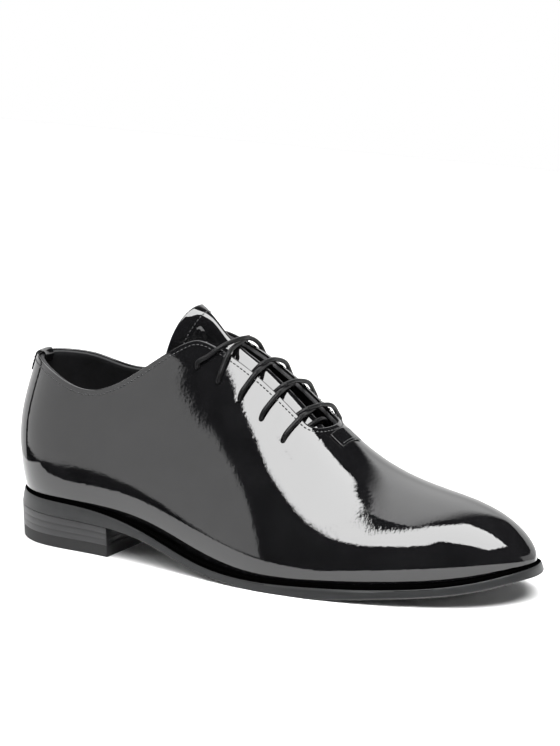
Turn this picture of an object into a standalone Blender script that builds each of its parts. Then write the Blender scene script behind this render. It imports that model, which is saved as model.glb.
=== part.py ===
"""Leather oxford shoe for the right foot: a one-piece upper on a leather sole with a stacked heel.

X runs from the back of the heel to the toe, +Y is the inner side of the foot, and the shoe stands
on Z = 0 with the middle of its sole over the origin.  Shapes are worked out in millimetres and are
turned into metres when a mesh is made.

Every layer follows one smooth surface, the outside of the upper.  ``skin(s, a, depth)`` gives a
point of it: s counts the cross-sections from the back of the heel (0) to the toe tip (12), and a
goes round a section, from -1 at the outer side of the sole over 0 at the instep to 1 at the inner
side.  ``depth`` is how far under the outside a layer lies.
"""
import bpy
import bmesh
import numpy as np
from mathutils import Matrix, Vector

# ---- driving dimensions, millimetres ----
GAP = 0.3                    # between pieces that touch
UPPER = 1.4                  # leather thicknesses
STIFFENER = 0.7
STAY = 0.5
LINING = 0.8
TONGUE = 1.2
TONGUE_LINING = 0.9
BACK_TAB = 0.9
INSOLE = 2.2
SOCK = 0.8
RAND = 1.3                   # the thin strip between sole and upper
RAND_WIDTH = 10.0
RAND_INSET = 3.0
HEEL_TOP_PIECE = 6.0
HEEL_LIFTS = 3
HEEL_TAPER = 0.15            # each layer's edge stands this much further out at its top
HEEL_BREAST = 71.0           # distance of the heel's front face from the back of the sole
LASTING = 9.0                # how far the upper turns in under the insole
SOLE_FLARE = 1.4             # the sole's bottom edge stands this far outside its top edge
LACE = 2.6                   # diameter of the round lace
EYELET_BORE = 3.6
EYELET_BARREL = 5.2
EYELET_FLANGE = 7.4
SHANK_ENDS = (62.0, 150.0)   # the spring in the waist
SHANK_WIDTH = 15.0
SHANK_THICKNESS = 1.3
SHANK_LIFT = 0.6             # its height above the sole
NAIL = 2.4                   # heel nails
NAIL_END = 8.0               # height of their points
THROAT = 6.66                # section where the lacing gap ends
THROAT_ROUND = 0.28          # length of its round end, in sections
ROWS = 5                     # pairs of eyelets
FIRST_EYE = (6.23, 0.415)    # section and angle of the lowest eyelet
EYE_STEP = (-0.377, -0.008)
EYE_LEAD = 0.10              # the inner row stands this much nearer to the toe

SLACK = 0.3                  # more room where layers are curved
STIFFENER_DEPTH = UPPER + GAP + SLACK
LINING_DEPTH = STIFFENER_DEPTH + STIFFENER + GAP + SLACK / 2
INSIDE = LINING_DEPTH + LINING
INSOLE_LIFT = UPPER + GAP + SLACK               # heights above the feather edge
SOCK_LIFT = INSOLE_LIFT + INSOLE + GAP
LINING_LIFT = SOCK_LIFT + GAP + 4 * SLACK
LAST = 12.0                                     # number of the last section

CHARCOAL = (0.012, 0.012, 0.013)
SOOT = (0.006, 0.006, 0.007)
TAN = (0.36, 0.22, 0.12)
CORK = (0.30, 0.18, 0.09)
STEEL = (0.55, 0.56, 0.58)


# ---- the surface that every layer follows ----
def rail(values, flat_ends=False):
    """A smooth curve through values at sections 0, 1, 2 ..., with a continuous second slope."""
    v = np.asarray(values, float)
    count = len(v)
    a = np.eye(count)
    b = np.zeros(count)
    for i in range(1, count - 1):
        a[i, i - 1:i + 2] = 1, 4, 1
        b[i] = 3 * (v[i + 1] - v[i - 1])
    if not flat_ends:
        a[0, 1] = a[-1, -2] = 0.5
        b[0] = 1.5 * (v[1] - v[0])
        b[-1] = 1.5 * (v[-1] - v[-2])
    slope = np.linalg.solve(a, b)

    def at(s):
        s = np.clip(np.asarray(s, float), 0, count - 1)
        i = np.minimum(s.astype(int), count - 2)
        f = s - i
        return ((2 * f**3 - 3 * f**2 + 1) * v[i] + (f**3 - 2 * f**2 + f) * slope[i]
                + (3 * f**2 - 2 * f**3) * v[i + 1] + (f**3 - f**2) * slope[i + 1])
    return at


# section:       0     1     2     3     4      5      6     7      8      9      10     11     12
ALONG = rail([0.8, 7.0, 26.5, 58.0, 93.0, 128.0, 163.0, 198.0, 231.0, 260.0, 281.5, 294.5, 299.5], True)
FEATHER = rail([27.5, 27.3, 26.8, 25.5, 19.7, 9.6, 6.2, 7.4, 9.4, 12.0, 15.6, 18.9, 20.2], True)
RISE = rail([104, 104, 104, 105.5, 110.5, 110.5, 91, 60.5, 43.7, 35, 23.4, 9.8, 0])
OUTER_WIDTH = rail([0, 17, 30.5, 33.5, 37, 43.5, 50, 50.5, 45.5, 36.5, 26, 14, 0])
INNER_WIDTH = rail([0, 17, 30.5, 33, 35, 38.5, 43.5, 46.5, 43.5, 36, 26, 14, 0])
OUTER_TUCK = rail([1.0, 1.2, 2.5, 3, 4, 4, 3, 2.6, 2.4, 2.2, 2, 1.4, 0])
INNER_TUCK = rail([1.0, 1.2, 2.5, 3.5, 7, 8.5, 6, 3.4, 2.6, 2.2, 2, 1.4, 0])
FULLNESS = rail([2, 2, 2, 2, 1.8, 1.6, 1.5, 1.6, 1.8, 2, 2, 2, 2])
MIDDLE = rail([0, 0, 0, 0, 0, 1, 2, 3, 4, 4.6, 5, 5.2, 5.2])
HEEL_LEAN = rail([0.6, -1.5, -0.3, 5, 11, 17])                  # at every 20 mm of height
SOLE_EDGE = rail([0.4, 0.4, 0.5, 0.8, 2, 2.6, 2.6, 2.8, 3.4, 3.4, 3.2, 2.8, 2.4])
SOLE_BOTTOM = rail([17.8, 17.7, 17.3, 16.4, 13.4, 4.3, 0.3, 0.0, 2.8, 5.6, 9.0, 12.2, 13.4], True)
TOPLINE = rail([0.534, 0.536, 0.568, 0.607, 0.440, 0.05, -0.5])
TONGUE_TOP, TONGUE_STEP = 4.3, 0.3                              # sections of the two curves below
TONGUE_CROWN = rail([-4.8, -1.0, 3.6, 5.6, 5.6, 5.6, 5.6, 5.7, 6.1, 6.8])
TONGUE_SIDE = rail([6.6, 8.8, 9.0, 8.6, 8.6, 8.6, 8.6, 8.6, 8.3, 7.5])


def ease(x):
    """Goes from 0 to 1 with level ends."""
    x = np.clip(x, 0, 1)
    return x * x * (3 - 2 * x)


def outward(s):
    """Direction, in plan, that points out of the shoe on its inner side."""
    s = np.clip(s, 0, LAST)
    low = np.clip(s - 0.001, 0, LAST)
    high = np.clip(s + 0.001, 0, LAST)
    run = ALONG(high) - ALONG(low)
    spread = (OUTER_WIDTH(high) + INNER_WIDTH(high) - OUTER_WIDTH(low) - INNER_WIDTH(low)) / 2
    size = np.hypot(run, spread)
    return -spread / size, run / size


def outside(s, a):
    """Point on the outside of the upper, in millimetres from the back of the sole."""
    s, a = np.broadcast_arrays(np.asarray(s, float), np.asarray(a, float))
    turn = np.sin(a * np.pi / 2)
    height = np.cos(a * np.pi / 2)

    def between(outer, inner):
        return (outer(s) + inner(s)) / 2 + (inner(s) - outer(s)) / 2 * turn
    lift = RISE(s) * height
    width = between(OUTER_WIDTH, INNER_WIDTH) * np.sqrt(np.clip(1 - np.abs(height)**FULLNESS(s), 0, 1))
    tuck = between(OUTER_TUCK, INNER_TUCK) * np.exp(-lift / 7)
    lean = HEEL_LEAN(np.clip(lift, 0, 100) / 20) * (1 - ease((ALONG(s) - 2.5) / 75))
    out_x, out_y = outward(s)
    return np.stack([ALONG(s) + lean - out_x * tuck * turn**2,
                     MIDDLE(s) + width * np.sign(a) - out_y * tuck * turn,
                     FEATHER(s) + lift], -1)


def skin(s, a, depth=0.0):
    """Point at a depth under the outside of the upper."""
    s, a, depth = np.broadcast_arrays(*(np.asarray(v, float) for v in (s, a, depth)))
    return outside(s, a) - normal(s, a) * depth[..., None]


def normal(s, a):
    """Direction straight out of the upper."""
    s = np.minimum(s, LAST - 0.02)
    step = 0.002
    n = np.cross(outside(s + step, a) - outside(s - step, a), outside(s, a + step) - outside(s, a - step))
    return n / np.linalg.norm(n, axis=-1, keepdims=True)


def opening(s, side):
    """Angle at which the upper stops: its topline, then the edge of the facing."""
    top = TOPLINE(s) - 0.015 * (side > 0) * ease((s - 1) / 2) * (1 - ease(s - 3.2))
    facing = 0.235 - 0.008 * (s - 4.7)
    edge = (top + facing + np.sqrt((top - facing)**2 + 0.05**2)) / 2
    beyond = np.clip((s - THROAT + THROAT_ROUND) / THROAT_ROUND, 0, 1)
    return edge * np.sqrt(1 - beyond**2)


def plan(s, side, out):
    """Point of the sole's outline, moved out by a distance; its height is left at 0."""
    out_x, out_y = outward(s)
    width = np.where(side < 0, OUTER_WIDTH(s), INNER_WIDTH(s))
    return np.stack([ALONG(s) + out_x * out, MIDDLE(s) + side * (width + out_y * out), 0 * s], -1)


EVERY = np.linspace(0, LAST, 241)
RIM = np.concatenate([plan(EVERY, -1, SOLE_EDGE(EVERY)), plan(EVERY, 1, SOLE_EDGE(EVERY)),
                      outside(0, np.linspace(-1, 1, 81))])
HOME = (RIM.max(0) + RIM.min(0)) / 2 * (1, 1, 0)                # what lies over the origin


def section_at(x, out=0.0):
    """Section whose outline, moved out, reaches a distance from the back."""
    return float(np.interp(x, ALONG(EVERY) + outward(EVERY)[0] * out, EVERY))


# ---- making objects ----
def start():
    for old in list(bpy.data.objects):
        bpy.data.objects.remove(old, do_unlink=True)
    for name in ("oxford_shoe", "cutters"):
        if name not in bpy.data.collections:
            bpy.context.scene.collection.children.link(bpy.data.collections.new(name))


def finish(name, colour, roughness, metallic=0.0, coat=0.0):
    material = bpy.data.materials.new(name)
    material.use_nodes = True
    shader = material.node_tree.nodes["Principled BSDF"]
    shader.inputs["Base Color"].default_value = (*colour, 1)
    shader.inputs["Roughness"].default_value = roughness
    shader.inputs["Metallic"].default_value = metallic
    shader.inputs["Coat Weight"].default_value = coat
    return material


def mesh_object(name, points, faces, material, collection="oxford_shoe"):
    """An object from points in millimetres, with doubles welded and faces turned outwards."""
    mesh = bpy.data.meshes.new(name)
    placed = (np.asarray(points, float) - HOME) * 0.001
    mesh.from_pydata([tuple(p) for p in placed], [], faces)
    bm = bmesh.new()
    bm.from_mesh(mesh)
    bmesh.ops.remove_doubles(bm, verts=bm.verts, dist=0.00002)
    bmesh.ops.dissolve_degenerate(bm, edges=bm.edges, dist=0.00001)
    bmesh.ops.recalc_face_normals(bm, faces=bm.faces)
    bm.to_mesh(mesh)
    bm.free()
    shape = bpy.data.objects.new(name, mesh)
    shape.data.materials.append(material)
    mesh.shade_smooth()
    mesh.set_sharp_from_angle(angle=np.radians(35))
    bpy.data.collections[collection].objects.link(shape)
    return shape


def quads(rows, columns, first=0, flip=False):
    """Faces of a grid whose points are numbered row by row."""
    faces = []
    for i in range(rows - 1):
        for j in range(columns - 1):
            k = first + i * columns + j
            face = (k, k + 1, k + columns + 1, k + columns)
            faces.append(face[::-1] if flip else face)
    return faces


def sheet(name, grids, thickness, material, grow=-1):
    """Leather cut from one or more grids of points; its thickness goes inwards, or outwards for grow 1."""
    points, faces = [], []
    for grid in grids:
        faces += quads(len(grid), len(grid[0]), len(points))
        points += [p for row in grid for p in row]
    piece = mesh_object(name, points, faces, material)
    middle = Vector(np.mean([v.co for v in piece.data.vertices], axis=0))
    outwards = sum(f.normal.dot(f.center - middle) * f.area for f in piece.data.polygons)
    if outwards < 0:
        piece.data.flip_normals()
    wall = piece.modifiers.new("thickness", 'SOLIDIFY')
    wall.thickness = thickness * 0.001
    wall.offset = grow
    wall.use_even_offset = True
    return piece


def slab(name, low, high, material):
    """Closed solid between a lower and an upper grid of points of the same size."""
    rows, columns = len(low), len(low[0])
    size = rows * columns
    points = [p for row in low for p in row] + [p for row in high for p in row]
    faces = quads(rows, columns) + quads(rows, columns, size, flip=True)
    border = [j for j in range(columns)]
    border += [i * columns + columns - 1 for i in range(1, rows)]
    border += [(rows - 1) * columns + j for j in range(columns - 2, -1, -1)]
    border += [i * columns for i in range(rows - 2, 0, -1)]
    for k, here in enumerate(border):
        after = border[(k + 1) % len(border)]
        faces.append((after, here, here + size, after + size))
    return mesh_object(name, points, faces, material)


def tube(name, route, diameter, material, resolution=2):
    """Round cord along points in millimetres."""
    curve = bpy.data.curves.new(name, 'CURVE')
    curve.dimensions = '3D'
    curve.bevel_depth = diameter * 0.0005
    curve.bevel_resolution = resolution
    curve.use_fill_caps = True
    spline = curve.splines.new('POLY')
    spline.points.add(len(route) - 1)
    for point, place in zip(spline.points, (np.asarray(route) - HOME) * 0.001):
        point.co = (*place, 1)
    curve.materials.append(material)
    cord = bpy.data.objects.new(name, curve)
    bpy.data.collections["oxford_shoe"].objects.link(cord)
    return cord


def turned(name, profile, place, direction, material, steps=10, collection="oxford_shoe"):
    """Solid of revolution of (radius, height) points, given down its outer side, round a direction."""
    points = [(r, 0, z) for r, z in profile]
    mesh = bpy.data.meshes.new(name)
    edges = [(k, k + 1) for k in range(len(points) - 1)]
    if profile[0][0] > 0:
        edges.append((len(points) - 1, 0))
    mesh.from_pydata([tuple(0.001 * c for c in p) for p in points], edges, [])
    mesh.materials.append(material)
    shape = bpy.data.objects.new(name, mesh)
    screw = shape.modifiers.new("turn", 'SCREW')
    screw.steps = screw.render_steps = steps
    screw.use_merge_vertices = True
    screw.merge_threshold = 0.00001
    aim = Vector(direction).to_track_quat('Z', 'Y').to_matrix().to_4x4()
    shape.matrix_world = Matrix.Translation(Vector((np.asarray(place) - HOME) * 0.001)) @ aim
    bpy.data.collections[collection].objects.link(shape)
    return shape


def rod(name, radius, start_point, end_point, steps=10):
    """A cutter between two points."""
    start_point, end_point = np.asarray(start_point), np.asarray(end_point)
    length = float(np.linalg.norm(end_point - start_point))
    bpy.ops.mesh.primitive_cylinder_add(vertices=steps, radius=radius * 0.001, depth=length * 0.001)
    cutter = bpy.context.object
    cutter.name = name
    for collection in cutter.users_collection:
        collection.objects.unlink(cutter)
    bpy.data.collections["cutters"].objects.link(cutter)
    aim = Vector(end_point - start_point).to_track_quat('Z', 'Y').to_matrix().to_4x4()
    middle = Vector(((start_point + end_point) / 2 - HOME) * 0.001)
    cutter.matrix_world = Matrix.Translation(middle) @ aim
    cutter.hide_render = True
    cutter.display_type = 'WIRE'
    return cutter


def cut(piece, cutters):
    for cutter in cutters:
        hole = piece.modifiers.new(cutter.name, 'BOOLEAN')
        hole.operation = 'DIFFERENCE'
        hole.solver = 'EXACT'
        hole.object = cutter


# ---- where things are ----
def eye(row, side):
    """Section and angle of an eyelet; row 0 is the lowest."""
    lead = EYE_LEAD if side > 0 else 0.0
    return FIRST_EYE[0] + EYE_STEP[0] * row + lead, side * (FIRST_EYE[1] + EYE_STEP[1] * row)


def seat_angle(s, depth, lift):
    """Angle at which a layer comes down to a height above the feather edge, or 0 if it is lower."""
    a = np.linspace(0, 1, 401)
    height = skin(s, a, depth)[:, 2] - FEATHER(s)
    return float(np.interp(-lift, -height, a)) if height[0] > lift else 0.0


def toe_end(depth, lift):
    """Section in the toe at which a layer has come down to a height above the feather edge."""
    s = np.linspace(9, 11.9, 300)
    height = skin(s, 0.0, depth)[:, 2] - FEATHER(s)
    return float(np.interp(-lift, -height, s)) + 0.001


def shell_grids(sections, columns, low, high, depth):
    """Outer-side and inner-side grids of a layer between two angles, closer together near the sole."""
    grids = []
    for side in (-1, 1):
        part = np.linspace(0, 1, columns)**1.4
        rows = [skin(s, side * (low(s, side) * (1 - part) + high(s, side) * part), depth) for s in sections]
        grids.append(rows)
    return grids


UPPER_SECTIONS = [0, 0.2, 0.5, 0.8, 1.15, 1.5, 1.9, 2.3, 2.7, 3.1, 3.5, 3.9, 4.2, 4.45, 4.65, 4.9, 5.25, 5.6,
                  5.95, 6.25, 6.42, 6.53, 6.61, 6.645, THROAT, 7, 7.5, 8, 8.5, 9, 9.5, 10, 10.5, 11, 11.4,
                  11.7, 11.9, LAST]


def make_upper(leather):
    """One piece of leather round the whole foot, turned in under the insole."""
    grids = []
    shell = shell_grids(UPPER_SECTIONS, 9, lambda s, side: 1.0, opening, 0.0)
    for side, grid in zip((-1, 1), shell):
        turned_in = []
        for s, row in zip(UPPER_SECTIONS, grid):
            out_x, out_y = outward(s)
            flange = row[0] - LASTING * np.array([out_x, side * out_y, 0])
            flange[2] = FEATHER(np.interp(flange[0], ALONG(EVERY), EVERY))
            turned_in.append([flange, *row])
        grids.append(turned_in)
    upper = sheet("upper", grids, UPPER, leather)
    holes = [rod(f"upper_hole_{i}_{side}", EYELET_BORE / 2 + 0.2,
                 skin(*eye(i, side), 4.0), skin(*eye(i, side), -4.0))
             for i in range(ROWS) for side in (-1, 1)]
    cut(upper, holes)
    return upper


def make_lining(leather):
    """Thin leather next to the foot."""
    end = toe_end(INSIDE, LINING_LIFT)
    sections = [s for s in UPPER_SECTIONS if s < end - 0.3] + [end - 0.12, end - 0.03, end]

    def foot(s, side):
        return seat_angle(s, INSIDE, LINING_LIFT)
    return sheet("lining", shell_grids(sections, 8, foot, opening, LINING_DEPTH), LINING, leather)


def make_stiffeners(board, tape):
    """What keeps the upper's shape between it and the lining."""
    sections = np.linspace(0, 3.4, 12)
    depth = STIFFENER_DEPTH

    def foot(s, side):
        return seat_angle(s, depth + STIFFENER, LINING_LIFT)

    def counter_top(s, side):
        return 0.63 + (foot(3.4, side) - 0.645) * ease((s - 0.8) / 2.6)
    sheet("heel_counter", shell_grids(sections, 6, foot, counter_top, depth), STIFFENER, board)
    end = toe_end(depth + STIFFENER, LINING_LIFT)
    sections = [s for s in UPPER_SECTIONS if 9 <= s < end - 0.3] + [end - 0.12, end - 0.03, end]
    sheet("toe_puff", shell_grids(sections, 8, foot, lambda s, side: 0.0, depth), STIFFENER, board)
    holes = [rod(f"stay_hole_{i}_{side}", EYELET_BARREL / 2 + GAP,
                 skin(*eye(i, side), 6.5), skin(*eye(i, side), UPPER + GAP / 2))
             for i in range(ROWS) for side in (-1, 1)]
    for side, name in ((-1, "facing_stay_outer"), (1, "facing_stay_inner")):
        rows = []
        for s in np.linspace(4.5, 6.52, 9):
            part = np.linspace(0, 1, 5)
            rows.append(skin(s, side * (0.27 + 0.21 * part), depth))
        stay = sheet(name, [rows], STAY, tape)
        cut(stay, [h for h in holes if (h.name.endswith("_-1")) == (side < 0)])
    grids = shell_grids(np.linspace(0, 4.2, 15), 3, lambda s, side: opening(s, side) + 0.055,
                        lambda s, side: opening(s, side) + 0.01, depth)
    sheet("topline_tape", grids, STAY, tape)
    return holes


def make_eyelets(metal):
    """Blind eyelets, clenched on the inside of the facings."""
    bore, barrel, flange = EYELET_BORE / 2, EYELET_BARREL / 2, EYELET_FLANGE / 2
    top = -(STIFFENER_DEPTH + 0.5)
    under = -(INSIDE + 0.8)
    profile = [(barrel, top), (barrel, under), (flange, under), (flange, under - 0.5), (bore, under - 0.5),
               (bore, top)]
    for i in range(ROWS):
        for side, word in ((-1, "outer"), (1, "inner")):
            at = eye(i, side)
            turned(f"eyelet_{word}_{i + 1}", profile, skin(*at), normal(*at), metal)


def tongue_depth(s, a):
    """The tongue stands up above the topline, lies low under the lace and dips under the facings."""
    step = (s - TONGUE_TOP) / TONGUE_STEP
    crown, side = TONGUE_CROWN(step), TONGUE_SIDE(step)
    wide = np.abs(a) / 0.42
    narrow = ease(np.abs(a) / 0.20)
    hollow = np.minimum(wide, 1)**2
    return crown + (side - crown) * (hollow + (narrow - hollow) * ease(step - 0.2))


def tongue_place(s, part):
    """Point of the tongue's upper face; part goes from -1 to 1 across it."""
    a = part * np.interp(s, [4.3, 4.5, 6.95], [0.43, 0.47, 0.22])
    back = (0.07 - 0.32 * np.abs(part)**1.3) * (1 - ease((s - TONGUE_TOP) / 0.8))
    return skin(s + back, a, tongue_depth(s, a))


def tongue_normal(s, part):
    step = 0.01
    n = np.cross(tongue_place(s + step, part) - tongue_place(s - step, part),
                 tongue_place(s, part + step) - tongue_place(s, part - step))
    return n / np.linalg.norm(n, axis=-1, keepdims=True)


def tongue_face(s, part, under=0.0):
    """Point under the tongue's upper face."""
    return tongue_place(s, part) - tongue_normal(s, part) * under


def make_tongue(leather, lining_leather):
    part = np.linspace(-1, 1, 15)
    part = 0.6 * part + 0.4 * part**3
    sections = np.linspace(4.3, 6.95, 16)
    sheet("tongue", [[tongue_face(s, part) for s in sections]], TONGUE, leather)
    under = TONGUE + GAP + SLACK / 2
    grid = [tongue_face(s, part[1:-1], under) for s in sections]
    sheet("tongue_lining", [grid], TONGUE_LINING, lining_leather)


def make_back_tab(leather):
    """A strap over the top of the back seam."""
    grid = []
    for s, side in [(0.44, -1), (0.3, -1), (0.15, -1), (0, 1), (0.15, 1), (0.3, 1), (0.44, 1)]:
        edge = float(opening(s, side))
        path = [(edge + 0.03, INSIDE + GAP), (edge, INSIDE + GAP), (edge - 0.012, INSIDE - 0.6),
                (edge - 0.012, 0.6), (edge - 0.002, -GAP), (edge + 0.075, -GAP)]
        grid.append([skin(s, side * a, depth) for a, depth in path])
    sheet("back_tab", [grid], BACK_TAB, leather, grow=1)


def make_throat_bar(leather):
    """Small reinforcing patch sewn on just below the lacing gap."""
    rows = [skin(s, np.linspace(-0.13, 0.15, 5), -GAP - 0.6) for s in (6.72, 6.82, 6.93)]
    sheet("throat_bar", [rows], 0.6, leather)


def lace_route():
    """One lace: a bar at the lowest pair of eyelets, then both ends cross up to the top pair."""
    over = -(LACE / 2 + GAP + 0.1)
    below = INSIDE + 1.5 + LACE / 2 + 0.1

    def meeting(row):
        """Section at which the two strands of a row cross."""
        return (eye(row, -1)[0] + eye(row, 1)[0]) / 2 + (0.07 if row < ROWS - 2 else -0.02)

    def through(row, side):
        """Up through an eyelet from inside."""
        at = eye(row, side)
        return [skin(*at, below), skin(*at, 3.0), skin(*at, -0.5)]

    def over_facing(row, side):
        s, a = eye(row, side)
        gap = side * opening(s, side)
        across = meeting(row)
        return [skin(s + 0.01, a * 0.93, over - 0.3),
                skin(s + (across - s) * 0.4, (a + gap) / 2, over - 0.4),
                skin(s + (across - s) * 0.8, gap * 0.98, over - 0.3)]

    def crossing(row, side):
        """Over the tongue and, but for the last, under the other facing; the inner strand is on top."""
        s_next, a_next = eye(row + 1, -side)
        across = meeting(row)
        gap = side * float(opening(across, side))
        top = side > 0
        middle = [skin(across, gap * 0.5, 0.0 if top else 2.4), skin(across, 0.0, 0.9 if top else 3.9)]
        if row == ROWS - 2:
            return middle + [skin(across - 0.05, -gap * 0.5, 0.4 if top else 2.8),
                             skin(across - 0.15, -gap * 0.98, over - 0.3),
                             skin(across - 0.27, (a_next - gap) / 2, over - 0.3),
                             skin(s_next + 0.01, a_next * 0.95, over - 0.4)]
        return middle + [skin(across - 0.04, -gap * 0.5, 1.9 if top else 4.4),
                         skin(across - 0.09, -gap * 0.86, below - 2.2),
                         skin(across - 0.15, -gap * 1.12, below - 0.3),
                         skin((across + s_next) / 2, (a_next - gap * 1.1) / 2, below)]

    def strand(side):
        route = []
        for row in range(ROWS - 1):
            route += through(row, side) + over_facing(row, side) + crossing(row, side)
            side = -side
        s, a = eye(ROWS - 1, side)
        return route + through(ROWS - 1, side)[::-1] + [skin(s + 0.05, a * 0.8, below + 0.2)]
    bar = [(6.32, -0.33, below), (6.42, -0.22, below - 0.2), (6.47, -0.11, 4.8), (6.49, 0, 3.8),
           (6.48, 0.11, 4.8), (6.44, 0.22, below - 0.2), (6.38, 0.33, below)]
    first = [skin(s, a, depth) for s, a, depth in bar]
    return strand(-1)[::-1] + first + strand(1)


# ---- the bottom ----
def floor_grid(sections, out, height, columns=5):
    """Grid across the sole's outline: out moves its edge, height gives z for the section it is at."""
    grid = []
    for s in sections:
        low = plan(s, -1, out(s, -1))
        high = plan(s, 1, out(s, 1))
        part = np.linspace(0, 1, columns)[:, None]
        row = low * (1 - part) + high * part
        row[:, 2] = height(np.interp(row[:, 0], ALONG(EVERY), EVERY))
        grid.append(row)
    return grid


SOLE_SECTIONS = [0, 0.15, 0.35, 0.6, 0.9, 1.3, 1.75, 2.3, 2.9, *np.linspace(3.4, 6.4, 11),
                 *np.linspace(7, 10.5, 8), 11, 11.35, 11.65, 11.88, LAST]


def sole_top(s):
    return FEATHER(s) - RAND - 2 * GAP


def sole_low(s):
    return np.maximum(SOLE_BOTTOM(s), 0.0)


def heel_nails():
    """Places in plan of the nails, as distances from the back and from the middle."""
    return [(14, 0), (26, -16), (26, 16), (48, -18), (48, 18)]


def make_bottom(sole_leather, heel_leather, rubber, board, cork, steel, iron, sock):
    """Sole, rand, insole, sock, filler, shank and the nailed heel."""
    def edge(s, side):
        return SOLE_EDGE(s)

    def inset(distance):
        return lambda s, side: -distance - (OUTER_TUCK(s) if side < 0 else INNER_TUCK(s))

    def top_edge(s, side):
        return SOLE_EDGE(s) - SOLE_FLARE
    sole = slab("outsole", floor_grid(SOLE_SECTIONS, edge, sole_low),
                floor_grid(SOLE_SECTIONS, top_edge, sole_top), sole_leather)
    rand_points, rand_faces = [], []
    loop = [(s, -1) for s in SOLE_SECTIONS[:-1]] + [(s, 1) for s in SOLE_SECTIONS[:0:-1]]
    for s, side in loop:
        for out, z in ((SOLE_EDGE(s) - RAND_INSET, GAP), (SOLE_EDGE(s) - RAND_INSET, GAP + RAND),
                       (-RAND_WIDTH, GAP + RAND), (-RAND_WIDTH, GAP)):
            point = plan(s, side, out)
            point[2] = z + sole_top(np.interp(point[0], ALONG(EVERY), EVERY))
            rand_points.append(point)
    for i in range(len(loop)):
        after = (i + 1) % len(loop)
        for k in range(4):
            rand_faces.append((4 * i + k, 4 * i + (k + 1) % 4, 4 * after + (k + 1) % 4, 4 * after + k))
    mesh_object("rand", rand_points, rand_faces, heel_leather)
    inner_sections = [s for s in SOLE_SECTIONS if 0.1 < s < 11.9]
    insole_edge = inset(UPPER + 1.2)
    insole_top = INSOLE_LIFT + INSOLE
    insole = slab("insole_board",
                  floor_grid(inner_sections, insole_edge, lambda s: FEATHER(s) + INSOLE_LIFT),
                  floor_grid(inner_sections, insole_edge, lambda s: FEATHER(s) + insole_top), board)
    sock_edge = inset(INSIDE + 1.6)
    sock_sections = [s for s in SOLE_SECTIONS if 0.25 < s < 11.2]
    slab("sock_liner", floor_grid(sock_sections, sock_edge, lambda s: FEATHER(s) + SOCK_LIFT),
         floor_grid(sock_sections, sock_edge, lambda s: FEATHER(s) + SOCK_LIFT + SOCK), sock)
    filler_sections = [s for s in SOLE_SECTIONS if 5.9 < s < 10.6]
    filler_edge = inset(LASTING + 4)
    slab("cork_filler", floor_grid(filler_sections, filler_edge, lambda s: sole_top(s) + GAP),
         floor_grid(filler_sections, filler_edge, lambda s: FEATHER(s) + INSOLE_LIFT - GAP), cork)
    shank = []
    for lift in (SHANK_LIFT, SHANK_LIFT + SHANK_THICKNESS):
        rows = []
        for x in np.linspace(*SHANK_ENDS, 12):
            s = section_at(x)
            rows.append([(x, y, float(sole_top(s)) + lift) for y in (-SHANK_WIDTH / 2, SHANK_WIDTH / 2)])
        shank.append(rows)
    slab("shank", shank[0], shank[1], steel)

    breast = section_at(HEEL_BREAST)
    heel_sections = [s for s in SOLE_SECTIONS if s < breast - 0.15] + [breast]
    first = HEEL_TOP_PIECE + GAP

    def level(s, part):
        """Height in the stack of lifts: 0 over the top piece, 1 under the sole."""
        return first + (SOLE_BOTTOM(s) - GAP - first) * part

    def heel_grid(height, flare):
        grid = floor_grid(heel_sections, lambda s, side: SOLE_EDGE(s) - flare, height, columns=3)
        grid[-1][:, 0] = HEEL_BREAST
        return grid
    lifts = []
    for k in range(HEEL_LIFTS):
        room = GAP if k else 0.0
        inset_edge = 0.5 - HEEL_TAPER * k
        under = heel_grid(lambda s, part=k / HEEL_LIFTS, room=room: level(s, part) + room, inset_edge)
        over = heel_grid(lambda s, part=(k + 1) / HEEL_LIFTS: level(s, part), inset_edge - HEEL_TAPER)
        lifts.append(slab(f"heel_lift_{k + 1}", under, over, heel_leather))
    slab("heel_top_piece", heel_grid(lambda s: 0 * s, 0.8),
         heel_grid(lambda s: 0 * s + HEEL_TOP_PIECE, 0.5), rubber)

    holes = []
    for k, (x, y) in enumerate(heel_nails()):
        top = float(FEATHER(section_at(x))) + insole_top
        holes.append(rod(f"nail_hole_{k}", NAIL / 2 + GAP, (x, y, NAIL_END - GAP), (x, y, top + 3)))
        length = top - 0.4 - NAIL_END
        profile = [(0, length), (NAIL / 2, length), (NAIL / 2, 0), (0, 0)]
        turned(f"heel_nail_{k + 1}", profile, (x, y, NAIL_END), (0, 0, 1), iron, steps=8)
    for piece in (sole, insole, *lifts):
        cut(piece, holes)


def main():
    start()
    patent = finish("patent_leather", CHARCOAL, 0.06, coat=1.0)
    calf = finish("lining_leather", SOOT, 0.6)
    board = finish("fibre_board", TAN, 0.8)
    tape = finish("cotton_tape", (0.5, 0.5, 0.48), 0.9)
    cord = finish("waxed_cotton", CHARCOAL, 0.5)
    sole_leather = finish("edge_inked_leather", (0.02, 0.02, 0.022), 0.45)
    heel_leather = finish("stacked_leather", (0.03, 0.03, 0.032), 0.5)
    rubber = finish("heel_rubber", SOOT, 0.7)
    steel = finish("spring_steel", STEEL, 0.35, metallic=1.0)
    cork = finish("cork", CORK, 0.9)
    black_metal = finish("blackened_brass", CHARCOAL, 0.4, metallic=1.0)

    make_upper(patent)
    lining = make_lining(calf)
    cut(lining, make_stiffeners(board, tape))
    make_eyelets(black_metal)
    make_tongue(patent, calf)
    make_back_tab(patent)
    make_throat_bar(patent)
    tube("lace", lace_route(), LACE, cord)
    make_bottom(sole_leather, heel_leather, rubber, board, cork, steel, steel, calf)


main()
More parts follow.
